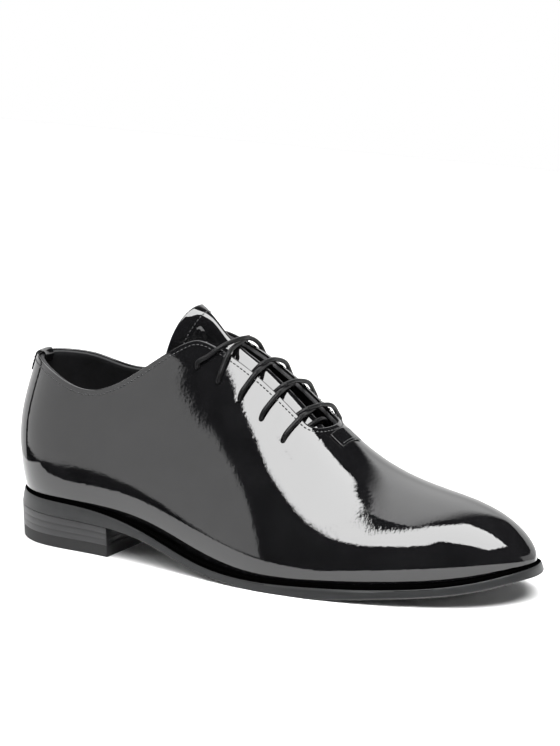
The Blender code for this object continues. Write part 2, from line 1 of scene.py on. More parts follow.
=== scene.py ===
"""Looks of a black patent leather oxford for the right foot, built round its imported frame.

The upper, the lining, the tongue and the edges of the sole and heel all follow one smooth surface,
so that its mirror finish shows clean reflections.  skin(s, a, depth) gives a point of it in
millimetres from the back of the sole: s counts the cross-sections from the back of the heel (0) to
the tip of the toe (12), and a goes round a section, from -1 at the outer side of the sole over 0 at
the instep to 1 at the inner side.
"""
import math

import bmesh
import bpy
import numpy as np
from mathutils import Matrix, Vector


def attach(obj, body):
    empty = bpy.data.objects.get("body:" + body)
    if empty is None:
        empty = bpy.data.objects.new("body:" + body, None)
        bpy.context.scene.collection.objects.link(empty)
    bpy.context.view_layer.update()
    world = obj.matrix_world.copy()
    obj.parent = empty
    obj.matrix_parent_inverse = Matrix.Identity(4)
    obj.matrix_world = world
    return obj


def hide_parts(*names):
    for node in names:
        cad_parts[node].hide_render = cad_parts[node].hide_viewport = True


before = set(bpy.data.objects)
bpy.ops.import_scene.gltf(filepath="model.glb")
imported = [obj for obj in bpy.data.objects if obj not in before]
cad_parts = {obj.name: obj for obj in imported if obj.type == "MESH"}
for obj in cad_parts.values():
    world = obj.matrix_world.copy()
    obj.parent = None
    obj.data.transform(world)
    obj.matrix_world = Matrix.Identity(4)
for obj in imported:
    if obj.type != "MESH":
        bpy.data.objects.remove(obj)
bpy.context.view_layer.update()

# ---- millimetres, as the frame has them ----
GAP = 0.3
UPPER = 1.4                  # leather thicknesses
LINING = 0.8
TONGUE = 1.2
TONGUE_LINING = 0.9
BACK_TAB = 0.9
LINING_DEPTH = 3.15
INSIDE = LINING_DEPTH + LINING
LINING_LIFT = 6.0
RAND = 1.3
HEEL_TOP_PIECE = 6.0
HEEL_BREAST = 71.0
LASTING = 9.0
SOLE_FLARE = 1.4
LACE = 2.6
HOLE = 2.4                   # where the lace goes through
DIMPLE = 0.06                # how far the lace presses the leather in round a hole
THROAT = 6.66                # section where the lacing gap ends
THROAT_ROUND = 0.28
ROWS = 5
FIRST_EYE = (6.23, 0.415)
EYE_STEP = (-0.377, -0.008)
EYE_LEAD = 0.10              # the inner row stands this much nearer to the toe
LAST = 12.0
STITCH = 2.3                 # from one stitch to the next
STITCH_INSET = 2.1           # from the cut edge of the upper to its line of stitches
LIFTS = 3                    # layers of leather in the heel


# ---- the surface that every layer follows ----
def rail(values, flat_ends=False):
    """A smooth curve through values at sections 0, 1, 2 ..., with a continuous second slope."""
    v = np.asarray(values, float)
    count = len(v)
    a = np.eye(count)
    b = np.zeros(count)
    for i in range(1, count - 1):
        a[i, i - 1:i + 2] = 1, 4, 1
        b[i] = 3 * (v[i + 1] - v[i - 1])
    if not flat_ends:
        a[0, 1] = a[-1, -2] = 0.5
        b[0] = 1.5 * (v[1] - v[0])
        b[-1] = 1.5 * (v[-1] - v[-2])
    slope = np.linalg.solve(a, b)

    def at(s):
        s = np.clip(np.asarray(s, float), 0, count - 1)
        i = np.minimum(s.astype(int), count - 2)
        f = s - i
        return ((2 * f**3 - 3 * f**2 + 1) * v[i] + (f**3 - 2 * f**2 + f) * slope[i]
                + (3 * f**2 - 2 * f**3) * v[i + 1] + (f**3 - f**2) * slope[i + 1])
    return at


ALONG = rail([0.8, 7.0, 26.5, 58.0, 93.0, 128.0, 163.0, 198.0, 231.0, 260.0, 281.5, 294.5, 299.5],
             flat_ends=True)
FEATHER = rail([27.5, 27.3, 26.8, 25.5, 19.7, 9.6, 6.2, 7.4, 9.4, 12.0, 15.6, 18.9, 20.2],
               flat_ends=True)
RISE = rail([104, 104, 104, 105.5, 110.5, 110.5, 91, 60.5, 43.7, 35, 23.4, 9.8, 0])
OUTER_WIDTH = rail([0, 17, 30.5, 33.5, 37, 43.5, 50, 50.5, 45.5, 36.5, 26, 14, 0])
INNER_WIDTH = rail([0, 17, 30.5, 33, 35, 38.5, 43.5, 46.5, 43.5, 36, 26, 14, 0])
OUTER_TUCK = rail([1.0, 1.2, 2.5, 3, 4, 4, 3, 2.6, 2.4, 2.2, 2, 1.4, 0])
INNER_TUCK = rail([1.0, 1.2, 2.5, 3.5, 7, 8.5, 6, 3.4, 2.6, 2.2, 2, 1.4, 0])
FULLNESS = rail([2, 2, 2, 2, 1.8, 1.6, 1.5, 1.6, 1.8, 2, 2, 2, 2])
MIDDLE = rail([0, 0, 0, 0, 0, 1, 2, 3, 4, 4.6, 5, 5.2, 5.2])
HEEL_LEAN = rail([0.6, -1.5, -0.3, 5, 11, 17])                  # at every 20 mm of height
SOLE_EDGE = rail([0.4, 0.4, 0.5, 0.8, 2, 2.6, 2.6, 2.8, 3.4, 3.4, 3.2, 2.8, 2.4])
SOLE_BOTTOM = rail([17.8, 17.7, 17.3, 16.4, 13.4, 4.3, 0.3, 0.0, 2.8, 5.6, 9.0, 12.2, 13.4],
                   flat_ends=True)
TOPLINE = rail([0.534, 0.536, 0.568, 0.607, 0.440, 0.05, -0.5])
TONGUE_TOP = 4.3                                                # section where the tongue begins
TONGUE_STEP = 0.3                                               # between values of the two curves below
TONGUE_END = 6.95
TONGUE_CROWN = rail([-4.8, -1.0, 3.6, 5.6, 5.6, 5.6, 5.6, 5.7, 6.1, 6.8])
TONGUE_SIDE = rail([6.6, 8.8, 9.0, 8.6, 8.6, 8.6, 8.6, 8.6, 8.3, 7.5])


def ease(x):
    """Goes from 0 to 1 with level ends."""
    x = np.clip(x, 0, 1)
    return x * x * (3 - 2 * x)


def outward(s):
    """Direction, in plan, that points out of the shoe on its inner side."""
    s = np.clip(s, 0, LAST)
    low = np.clip(s - 0.001, 0, LAST)
    high = np.clip(s + 0.001, 0, LAST)
    run = ALONG(high) - ALONG(low)
    spread = (OUTER_WIDTH(high) + INNER_WIDTH(high) - OUTER_WIDTH(low) - INNER_WIDTH(low)) / 2
    size = np.hypot(run, spread)
    return -spread / size, run / size


def outside(s, a):
    """Point on the outside of the upper."""
    s, a = np.broadcast_arrays(np.asarray(s, float), np.asarray(a, float))
    turn = np.sin(a * np.pi / 2)
    height = np.cos(a * np.pi / 2)

    def between(outer, inner):
        return (outer(s) + inner(s)) / 2 + (inner(s) - outer(s)) / 2 * turn
    lift = RISE(s) * height
    width = between(OUTER_WIDTH, INNER_WIDTH) * np.sqrt(np.clip(1 - np.abs(height)**FULLNESS(s), 0, 1))
    tuck = between(OUTER_TUCK, INNER_TUCK) * np.exp(-lift / 7)
    lean = HEEL_LEAN(np.clip(lift, 0, 100) / 20) * (1 - ease((ALONG(s) - 2.5) / 75))
    out_x, out_y = outward(s)
    return np.stack([ALONG(s) + lean - out_x * tuck * turn**2,
                     MIDDLE(s) + width * np.sign(a) - out_y * tuck * turn,
                     FEATHER(s) + lift], -1)


def normal(s, a):
    """Direction straight out of the upper."""
    s = np.minimum(s, LAST - 0.02)
    step = 0.002
    n = np.cross(outside(s + step, a) - outside(s - step, a), outside(s, a + step) - outside(s, a - step))
    return n / np.linalg.norm(n, axis=-1, keepdims=True)


def skin(s, a, depth=0.0):
    """Point at a depth under the outside of the upper."""
    s, a, depth = np.broadcast_arrays(*(np.asarray(v, float) for v in (s, a, depth)))
    return outside(s, a) - normal(s, a) * depth[..., None]


def opening(s, side):
    """Angle at which the upper stops: its topline, then the edge of the facing."""
    top = TOPLINE(s) - 0.015 * (side > 0) * ease((s - 1) / 2) * (1 - ease(s - 3.2))
    facing = 0.235 - 0.008 * (s - 4.7)
    edge = (top + facing + np.sqrt((top - facing)**2 + 0.05**2)) / 2
    beyond = np.clip((s - THROAT + THROAT_ROUND) / THROAT_ROUND, 0, 1)
    return edge * np.sqrt(1 - beyond**2)


def plan(s, side, out):
    """Point of the sole's outline, moved out by a distance; its height is left at 0."""
    out_x, out_y = outward(s)
    width = np.where(side < 0, OUTER_WIDTH(s), INNER_WIDTH(s))
    return np.stack([ALONG(s) + out_x * out, MIDDLE(s) + side * (width + out_y * out), 0 * s], -1)


def sole_top(s):
    return FEATHER(s) - RAND - 2 * GAP


def sole_low(s):
    return np.maximum(SOLE_BOTTOM(s), 0.0)


def eye(row, side):
    """Section and angle of an eyelet; row 0 is the lowest."""
    lead = EYE_LEAD if side > 0 else 0.0
    return FIRST_EYE[0] + EYE_STEP[0] * row + lead, side * (FIRST_EYE[1] + EYE_STEP[1] * row)


EVERY = np.linspace(0, LAST, 241)
RIM = np.concatenate([plan(EVERY, -1, SOLE_EDGE(EVERY)), plan(EVERY, 1, SOLE_EDGE(EVERY)),
                      outside(0, np.linspace(-1, 1, 81))])
HOME = (RIM.max(0) + RIM.min(0)) / 2 * (1, 1, 0)                # what lies over the frame's origin


def row_point(p):
    """Millimetres from the back of the sole to metres in the frame."""
    return (np.asarray(p, float) - HOME) * 0.001


# ---- making pieces ----
def raw_mesh(name, points, faces, material, weld=0.00002):
    """A smooth object from points in millimetres, with doubles welded and faces turned outwards."""
    mesh = bpy.data.meshes.new(name)
    mesh.from_pydata(row_point(points).tolist(), [], faces)
    bm = bmesh.new()
    bm.from_mesh(mesh)
    bmesh.ops.remove_doubles(bm, verts=bm.verts, dist=weld)
    bmesh.ops.dissolve_degenerate(bm, edges=bm.edges, dist=0.000005)
    bmesh.ops.recalc_face_normals(bm, faces=bm.faces)
    bm.to_mesh(mesh)
    bm.free()
    mesh.materials.append(material)
    piece = bpy.data.objects.new(name, mesh)
    bpy.context.scene.collection.objects.link(piece)
    soften(piece)
    return piece


def soften(piece, angle=40):
    """Smooth shading with the corners kept."""
    piece.data.shade_smooth()
    piece.data.set_sharp_from_angle(angle=math.radians(angle))


def settle(piece):
    """Applies the modifiers of a piece."""
    bpy.ops.object.select_all(action='DESELECT')
    bpy.context.view_layer.objects.active = piece
    piece.select_set(True)
    for modifier in list(piece.modifiers):
        bpy.ops.object.modifier_apply(modifier=modifier.name)
    piece.select_set(False)


def stands_for(piece, body, slot, *nodes):
    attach(piece, body)
    if nodes:
        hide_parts(*nodes)
    return piece


def stitch_row(line, outs, step=STITCH):
    """Evenly spaced places along a line, each with the direction of the line's nearest point."""
    places = evenly(line, step)
    nearest = [int(np.argmin(np.linalg.norm(line - p, axis=1))) for p in places]
    return places, outs[nearest]


def quads(rows, columns, first=0, closed=False):
    """Faces of a grid whose points are numbered row by row; closed joins the last column to the first."""
    faces = []
    for i in range(rows - 1):
        for j in range(columns if closed else columns - 1):
            k, after = first + i * columns + j, first + i * columns + (j + 1) % columns
            faces.append((k, after, after + columns, k + columns))
    return faces


def patchwork(*grids):
    """Points and faces of several grids."""
    points, faces = [], []
    for grid in grids:
        grid = np.asarray(grid)
        faces += quads(grid.shape[0], grid.shape[1], len(points))
        points += grid.reshape(-1, 3).tolist()
    return points, faces


def thicken(piece, thickness, grow=-1, round_edge=0.3):
    """Gives a sheet its thickness in millimetres and rounds its cut edge."""
    wall = piece.modifiers.new("thickness", 'SOLIDIFY')
    wall.thickness = thickness * 0.001
    wall.offset = grow
    wall.use_even_offset = True
    bevel = piece.modifiers.new("edge", 'BEVEL')
    bevel.width = round_edge * 0.001
    bevel.segments = 3
    bevel.limit_method = 'ANGLE'
    bevel.angle_limit = math.radians(50)
    settle(piece)
    soften(piece, 60)


def face_out(piece):
    """Turns an open sheet so that its faces look away from the middle of the shoe."""
    bm = bmesh.new()
    bm.from_mesh(piece.data)
    middle = sum((v.co for v in bm.verts), Vector()) / len(bm.verts)
    if sum(f.normal.dot(f.calc_center_median() - middle) * f.calc_area() for f in bm.faces) < 0:
        bmesh.ops.reverse_faces(bm, faces=bm.faces)
    bm.to_mesh(piece.data)
    bm.free()


def smooth_path(points, step):
    """Evenly spaced points on a smooth curve through points."""
    p = np.asarray(points, float)
    p = np.concatenate([[2 * p[0] - p[1]], p, [2 * p[-1] - p[-2]]])
    out = []
    for k in range(1, len(p) - 2):
        ends = p[k - 1:k + 3]
        knots = np.concatenate([[0], np.cumsum(np.linalg.norm(np.diff(ends, axis=0), axis=1)**0.5)])
        t = np.linspace(knots[1], knots[2], 24, endpoint=k == len(p) - 3)[:, None]

        def mix(a, b, i, j):
            return (knots[j] - t) / (knots[j] - knots[i]) * a + (t - knots[i]) / (knots[j] - knots[i]) * b
        first = [mix(ends[i], ends[i + 1], i, i + 1) for i in range(3)]
        second = [mix(first[i], first[i + 1], i, i + 2) for i in range(2)]
        out.append(mix(second[0], second[1], 1, 2))
    return evenly(np.concatenate(out), step)


def evenly(points, step):
    points = np.asarray(points, float)
    run = np.concatenate([[0], np.cumsum(np.linalg.norm(np.diff(points, axis=0), axis=1))])
    count = max(2, int(round(run[-1] / step)) + 1)
    at = np.linspace(0, run[-1], count)
    return np.stack([np.interp(at, run, points[:, k]) for k in range(3)], -1)


def cord(name, path, diameter, sides, material):
    """Round cord along a path, with a map that runs along it and round it."""
    tangent = np.gradient(path, axis=0)
    tangent /= np.linalg.norm(tangent, axis=1, keepdims=True)
    side = np.cross(tangent[0], (0, 0, 1.0))
    lengths = np.concatenate([[0], np.cumsum(np.linalg.norm(np.diff(path, axis=0), axis=1))])
    tip = 3.2                                                   # points that a rounded end takes
    rings = []
    for k, (point, t) in enumerate(zip(path, tangent)):
        side = side - t * side.dot(t)
        side /= np.linalg.norm(side)
        other = np.cross(t, side)
        turn = np.linspace(0, 2 * np.pi, sides, endpoint=False)[:, None]
        near_end = max(0, tip - min(k, len(path) - 1 - k)) / tip
        radius = diameter / 2 * math.sqrt(1 - near_end**2)
        rings.append(point + radius * (np.cos(turn) * side + np.sin(turn) * other))
    ends = [tuple(range(sides))[::-1], tuple((len(path) - 1) * sides + k for k in range(sides))]
    mesh = bpy.data.meshes.new(name)
    mesh.from_pydata(row_point(np.array(rings).reshape(-1, 3)).tolist(), [],
                     quads(len(path), sides, closed=True) + ends)
    layer = mesh.uv_layers.new(name="along")
    for face in mesh.polygons:
        turns = [mesh.loops[i].vertex_index % sides for i in face.loop_indices]
        wraps = max(turns) - min(turns) > sides / 2 and face.loop_total == 4
        for i, turn in zip(face.loop_indices, turns):
            ring = mesh.loops[i].vertex_index // sides
            layer.data[i].uv = (lengths[ring] * 0.001, (turn + sides * (wraps and turn == 0)) / sides)
    mesh.materials.append(material)
    piece = bpy.data.objects.new(name, mesh)
    bpy.context.scene.collection.objects.link(piece)
    bm = bmesh.new()
    bm.from_mesh(mesh)
    bmesh.ops.recalc_face_normals(bm, faces=bm.faces)
    bm.to_mesh(mesh)
    bm.free()
    soften(piece, 70)
    return piece


def stitching(name, rows, body, length=1.85, thread=0.65):
    """Rows of stitches; each row is its path and the directions that point out of the leather.

    A stitch is flattened, its two ends bend down, and it is pulled a little into the leather.
    """
    flatness, droop, lift = 0.8, 0.55, thread * 0.4 - 0.08
    bpy.ops.object.select_all(action='DESELECT')
    bpy.ops.mesh.primitive_uv_sphere_add(segments=8, ring_count=6, radius=0.5)
    bead = bpy.context.object
    shape = np.array([v.co for v in bead.data.vertices])
    shape = shape[:, [2, 0, 1]] * (length, thread, thread * flatness)
    bend = shape[:, 0] / length * 2
    shape[:, 2] -= bend**2 * thread * droop
    bead_faces = [tuple(f.vertices) for f in bead.data.polygons]
    bpy.data.objects.remove(bead)
    points, faces = [], []
    for path, outs in rows:
        tangent = np.gradient(path, axis=0)
        for point, t, n in zip(path[1:-1], tangent[1:-1], outs[1:-1]):
            t = t / np.linalg.norm(t)
            n = n - t * t.dot(n)
            n /= np.linalg.norm(n)
            axes = np.stack([t, np.cross(n, t), n])
            faces += [tuple(k + len(points) for k in face) for face in bead_faces]
            points += (point + shape @ axes + n * lift).tolist()
    piece = raw_mesh(name, points, faces, thread_material, weld=0.0000001)
    return stands_for(piece, body, "waxed_cotton")


# ---- materials ----
def linear(hex_colour):
    """sRGB hex to the linear values that shaders take."""
    parts = [int(hex_colour[i:i + 2], 16) / 255 for i in (1, 3, 5)]
    return (*(c / 12.92 if c <= 0.04045 else ((c + 0.055) / 1.055)**2.4 for c in parts), 1.0)


def add(tree, kind, settings=None, links=None):
    """Adds a node, sets its properties or its inputs, and links outputs of other nodes to it."""
    node = tree.nodes.new(kind)
    for key, value in (settings or {}).items():
        if isinstance(key, str) and hasattr(node, key):
            setattr(node, key, value)
        else:
            node.inputs[key].default_value = value
    for key, output in (links or {}).items():
        tree.links.new(output, node.inputs[key])
    return node


def new_material(name, **values):
    """A Principled material with constant values on its own sockets."""
    material = bpy.data.materials.new(name)
    material.use_nodes = True
    shader = material.node_tree.nodes["Principled BSDF"]
    for key, value in values.items():
        shader.inputs[key.replace("_", " ").title().replace("Ior", "IOR")].default_value = value
    return material, material.node_tree, shader


def ramp(tree, source, stops):
    node = add(tree, 'ShaderNodeValToRGB', links={"Fac": source})
    first, last = node.color_ramp.elements[0], node.color_ramp.elements[1]
    first.position, first.color = stops[0][0], linear(stops[0][1])
    last.position, last.color = stops[-1][0], linear(stops[-1][1])
    for position, colour in stops[1:-1]:
        node.color_ramp.elements.new(position).color = linear(colour)
    return node.outputs["Color"]


MM = 1000.0                                                     # one over a millimetre, in metres


def patent_leather():
    """Calf under a poured film of polyurethane: black, a clear mirror, faintly rippled like lacquer."""
    material, tree, shader = new_material("patent_leather_lacquered", roughness=0.5, coat_weight=1.0,
                                          coat_roughness=0.012, coat_ior=1.62, ior=1.45,
                                          specular_ior_level=0.0)
    place = add(tree, 'ShaderNodeTexCoord').outputs["Object"]
    tint = add(tree, 'ShaderNodeTexNoise', {"Scale": MM / 14, "Detail": 2.0}, {"Vector": place})
    tree.links.new(ramp(tree, tint.outputs["Fac"], [(0.3, "#0C0C0D"), (0.7, "#121213")]),
                   shader.inputs["Base Color"])
    ripple = add(tree, 'ShaderNodeTexNoise', {"Scale": MM / 1.6, "Detail": 2.5, "Roughness": 0.6},
                 {"Vector": place})
    swell = add(tree, 'ShaderNodeTexNoise', {"Scale": MM / 11, "Detail": 1.0}, {"Vector": place})
    broad = add(tree, 'ShaderNodeBump', {"Strength": 1.0, "Distance": 0.00005},
                {"Height": swell.outputs["Fac"]})
    fine = add(tree, 'ShaderNodeBump', {"Strength": 1.0, "Distance": 0.000026},
               {"Height": ripple.outputs["Fac"], "Normal": broad.outputs["Normal"]})
    for socket in ("Normal", "Coat Normal"):
        tree.links.new(fine.outputs["Normal"], shader.inputs[socket])
    return material


def lining_leather():
    """Black drummed calf next to the foot: soft, with pores and fine creases, no shine."""
    material, tree, shader = new_material("lining_calf_black", roughness=0.62, specular_ior_level=0.35)
    place = add(tree, 'ShaderNodeTexCoord').outputs["Object"]
    pores = add(tree, 'ShaderNodeTexVoronoi', {"Scale": MM / 1.1}, {"Vector": place})
    cloud = add(tree, 'ShaderNodeTexNoise', {"Scale": MM / 9, "Detail": 4.0}, {"Vector": place})
    tree.links.new(ramp(tree, cloud.outputs["Fac"], [(0.3, "#101011"), (0.7, "#1B1B1D")]),
                   shader.inputs["Base Color"])
    grain = add(tree, 'ShaderNodeBump', {"Strength": 0.5, "Distance": 0.00012},
                {"Height": pores.outputs["Distance"]})
    tree.links.new(grain.outputs["Normal"], shader.inputs["Normal"])
    return material


def waxed_lace():
    """Braided cotton, waxed: dark grey, a dull gloss along the top of each yarn, and painted shade in the
    grooves between them.
    """
    material, tree, shader = new_material("waxed_cotton_braid", roughness=0.33, specular_ior_level=0.16)
    along = add(tree, 'ShaderNodeUVMap', {"uv_map": "along"}).outputs["UV"]
    parts = add(tree, 'ShaderNodeSeparateXYZ', links={"Vector": along})
    waves = []
    for sign in (1, -1):
        run = add(tree, 'ShaderNodeMath', {"operation": 'MULTIPLY', 1: sign * 2 * math.pi * MM / 1.5},
                  {0: parts.outputs["X"]})
        angle = add(tree, 'ShaderNodeMath', {"operation": 'MULTIPLY_ADD', 1: 2 * math.pi * 4},
                    {0: parts.outputs["Y"], 2: run.outputs[0]})
        waves.append(add(tree, 'ShaderNodeMath', {"operation": 'SINE'}, {0: angle.outputs[0]}).outputs[0])
    braid = add(tree, 'ShaderNodeMath', {"operation": 'MAXIMUM'}, {0: waves[0], 1: waves[1]}).outputs[0]
    level = add(tree, 'ShaderNodeMapRange', {"From Min": -1.0, "From Max": 1.0}, {"Value": braid})
    # painted shade: the braid's grooves are coloured darker than the tops of its yarns
    tree.links.new(ramp(tree, level.outputs["Result"], [(0.2, "#040405"), (0.9, "#0F0F10")]),
                   shader.inputs["Base Color"])
    bump = add(tree, 'ShaderNodeBump', {"Strength": 0.6, "Distance": 0.00012},
               {"Height": level.outputs["Result"]})
    tree.links.new(bump.outputs["Normal"], shader.inputs["Normal"])
    return material


def thread():
    """Bonded polyester thread: black, with a small highlight on each stitch."""
    material, tree, shader = new_material("polyester_thread", roughness=0.35, specular_ior_level=0.7)
    place = add(tree, 'ShaderNodeTexCoord').outputs["Object"]
    ply = add(tree, 'ShaderNodeTexNoise', {"Scale": MM / 0.5, "Detail": 2.0}, {"Vector": place})
    tree.links.new(ramp(tree, ply.outputs["Fac"], [(0.3, "#0E0E0F"), (0.7, "#202022")]),
                   shader.inputs["Base Color"])
    return material


def inked(name, dark, light, roughness, layer_mm):
    """Vegetable-tanned leather, its cut edge trimmed, inked and waxed: satin, with faint fibre lines."""
    material, tree, shader = new_material(name, roughness=roughness, specular_ior_level=0.5, ior=1.5)
    place = add(tree, 'ShaderNodeTexCoord').outputs["Object"]
    flatter = 9.0                                               # a fibre is this much longer than high
    flat = add(tree, 'ShaderNodeMapping', {"Scale": (1.0, 1.0, flatter)}, {"Vector": place})
    fibre = add(tree, 'ShaderNodeTexNoise', {"Scale": MM / (layer_mm * flatter), "Detail": 4.0},
                {"Vector": flat.outputs["Vector"]})
    cloud = add(tree, 'ShaderNodeTexNoise', {"Scale": MM / 6, "Detail": 3.0}, {"Vector": place})
    half = add(tree, 'ShaderNodeMath', {"operation": 'MULTIPLY', 1: 0.5}, {0: fibre.outputs["Fac"]})
    both = add(tree, 'ShaderNodeMath', {"operation": 'MULTIPLY_ADD', 1: 0.5},
               {0: cloud.outputs["Fac"], 2: half.outputs[0]})
    tree.links.new(ramp(tree, both.outputs[0], [(0.35, dark), (0.65, light)]), shader.inputs["Base Color"])
    bump = add(tree, 'ShaderNodeBump', {"Strength": 0.35, "Distance": 0.00006},
               {"Height": fibre.outputs["Fac"]})
    tree.links.new(bump.outputs["Normal"], shader.inputs["Normal"])
    return material


def speckled(name, colours, grain_mm, roughness, metallic=0.0, bump_mm=0.1, cells=False,
             stretch=(1, 1, 1), shine=0.5):
    """A matt stuff with grains or fibres of a size: board, cork, woven tape, rubber or worked metal."""
    material, tree, shader = new_material(name, roughness=roughness, metallic=metallic,
                                          specular_ior_level=shine)
    place = add(tree, 'ShaderNodeTexCoord').outputs["Object"]
    turned = add(tree, 'ShaderNodeMapping', {"Scale": stretch}, {"Vector": place}).outputs["Vector"]
    if cells:
        pattern = add(tree, 'ShaderNodeTexVoronoi', {"Scale": MM / grain_mm}, {"Vector": turned})
        value = pattern.outputs["Distance"]
    else:
        pattern = add(tree, 'ShaderNodeTexNoise', {"Scale": MM / grain_mm, "Detail": 5.0},
                      {"Vector": turned})
        value = pattern.outputs["Fac"]
    tree.links.new(ramp(tree, value, [(0.25, colours[0]), (0.75, colours[1])]),
                   shader.inputs["Base Color"])
    bump = add(tree, 'ShaderNodeBump', {"Strength": 0.5, "Distance": bump_mm / MM}, {"Height": value})
    tree.links.new(bump.outputs["Normal"], shader.inputs["Normal"])
    return material


patent = patent_leather()
calf = lining_leather()
lace_material = waxed_lace()
thread_material = thread()
sole_edge_leather = inked("sole_leather_inked", "#121314", "#1B1C1D", 0.42, 0.5)
heel_stack_leather = inked("stacked_leather_inked", "#161618", "#1A1A1C", 0.44, 0.6)
heel_rubber = speckled("heel_rubber_moulded", ("#0A0A0B", "#101011"), 0.8, 0.7, bump_mm=0.04)
board = speckled("fibre_board_pressed", ("#8E6A47", "#B08A62"), 1.2, 0.85)
tape = speckled("cotton_tape_woven", ("#A8A69C", "#D2D0C6"), 0.6, 0.9, cells=True)
stiff = speckled("stiffener_resin_felt", ("#8C7A60", "#B09C7E"), 0.9, 0.9)
cork = speckled("cork_ground", ("#6E4A2A", "#B98A55"), 2.2, 0.9, cells=True, bump_mm=0.25)
steel = speckled("spring_steel_rolled", ("#7E8184", "#9DA0A3"), 0.3, 0.35, metallic=1.0, bump_mm=0.01,
                 stretch=(0.05, 1, 1))
# nearly black and without shine, darker than the other black leathers: the rand's own black leather,
# deepened as painted shade on the rand and the sole's top under the upper's overhang and inside the eyelet
# holes
rand_and_shade_black = speckled("rand_leather_and_painted_shade", ("#020202", "#040404"), 0.8, 0.9, bump_mm=0.04, shine=0.0)
brass = speckled("brass_blackened", ("#161514", "#2C2926"), 0.8, 0.4, metallic=1.0, bump_mm=0.02)
kept = {"insole_board": board, "heel_counter": stiff, "toe_puff": stiff, "topline_tape": tape,
        "facing_stay_outer": tape, "facing_stay_inner": tape, "cork_filler": cork, "shank": steel,
        "sock_liner": calf, "rand": rand_and_shade_black}
for node_name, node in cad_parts.items():
    if node_name.startswith("eyelet"):
        kept[node_name] = brass
    if node_name.startswith("heel_nail"):
        kept[node_name] = steel
for node_name, material in kept.items():
    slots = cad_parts[node_name].data.materials
    slots.clear()
    slots.append(material)


# ---- the upper ----
def spaced(*stretches):
    """Values along stretches of (from, to, count), without repeating the ends."""
    parts = [np.linspace(low, high, count, endpoint=False) for low, high, count in stretches]
    return np.concatenate([*parts, [stretches[-1][1]]])


def edge_loop(steps):
    """The cut edge of the upper, once round its opening: points, and directions out of the leather."""
    points, outs = [], []
    for side, order in ((-1, steps), (1, steps[-2::-1])):
        a = side * opening(order, side)
        points.append(skin(order, a))
        outs.append(normal(order, a))
    return np.concatenate(points), np.concatenate(outs)


def into_opening(points, outs):
    """Directions that lie in the leather, across its edge, and point into the opening."""
    tangent = np.roll(points, -1, 0) - np.roll(points, 1, 0)
    across = np.cross(tangent, outs)
    across /= np.linalg.norm(across, axis=1, keepdims=True)
    middle = np.mean(points, axis=0)
    flip = np.sign(np.sum((across * (middle - points)), axis=1).sum())
    return across * flip


UPPER_SECTIONS = spaced((0, 4.4, 96), (4.4, 6.3, 78), (6.3, THROAT, 28), (THROAT, 11, 90), (11, LAST, 26))
EYES = np.array([skin(*eye(i, side)) for i in range(ROWS) for side in (-1, 1)])
EYE_NORMALS = np.array([normal(*eye(i, side)) for i in range(ROWS) for side in (-1, 1)])


def dimpled(points, outs):
    """Presses the leather in a little round each eyelet, where the lace pulls."""
    reach = 2.2
    for centre in EYES:
        away = np.linalg.norm(points - centre, axis=-1)
        points = points - outs * (DIMPLE * np.exp(-(away / reach)**2))[..., None]
    return points


def make_upper():
    """Outer and inner face, a round rim along the cut edge and a flange lasted under the foot."""
    fine_from = 0.66                                            # rows stand closer from here to the edge
    outer, inner = [], []
    for side in (-1, 1):
        outer_rows, inner_rows = [], []
        for s in UPPER_SECTIONS:
            edge = opening(s, side)
            part = spaced((0, fine_from, 34), (fine_from, 1, 35))
            a = side * (1 + (edge - 1) * part)
            row = dimpled(skin(s, a), normal(s, a))
            out_x, out_y = outward(s)
            flange = row[0] - LASTING * np.array([out_x, side * out_y, 0])
            flange[2] = FEATHER(np.interp(flange[0], ALONG(EVERY), EVERY))
            outer_rows.append(np.concatenate([[flange], row]))
            a = side * (1 + (edge - 1) * np.linspace(0, 1, 14))
            inside_row = skin(s, a, UPPER)
            inside_row[0, 2] = max(inside_row[0, 2], row[0, 2] + UPPER)
            inner_rows.append(np.concatenate([[flange + (0, 0, UPPER)], inside_row]))
        outer.append(np.array(outer_rows))
        inner.append(np.array(inner_rows))
    points, outs = edge_loop(UPPER_SECTIONS[UPPER_SECTIONS <= THROAT])
    across = into_opening(points, outs)
    radius = UPPER / 2
    rim = []
    for turn in np.linspace(0, np.pi, 9):
        rim.append(points + across * radius * math.sin(turn) - outs * radius * (1 - math.cos(turn)))
    rim = np.array(rim)
    rim = np.concatenate([rim, rim[:, :1]], axis=1)
    bottoms = [np.stack([o[:, 0], i[:, 0]]) for o, i in zip(outer, inner)]
    upper = raw_mesh("upper_leather", *patchwork(*outer, *inner, rim, *bottoms), patent, weld=0.00003)
    # second material, matt near-black: painted shade in the eyelet holes
    upper.data.materials.append(rand_and_shade_black)
    punch_holes(upper)
    soften(upper, 60)
    return stands_for(upper, "shoe", "patent_leather", "upper")


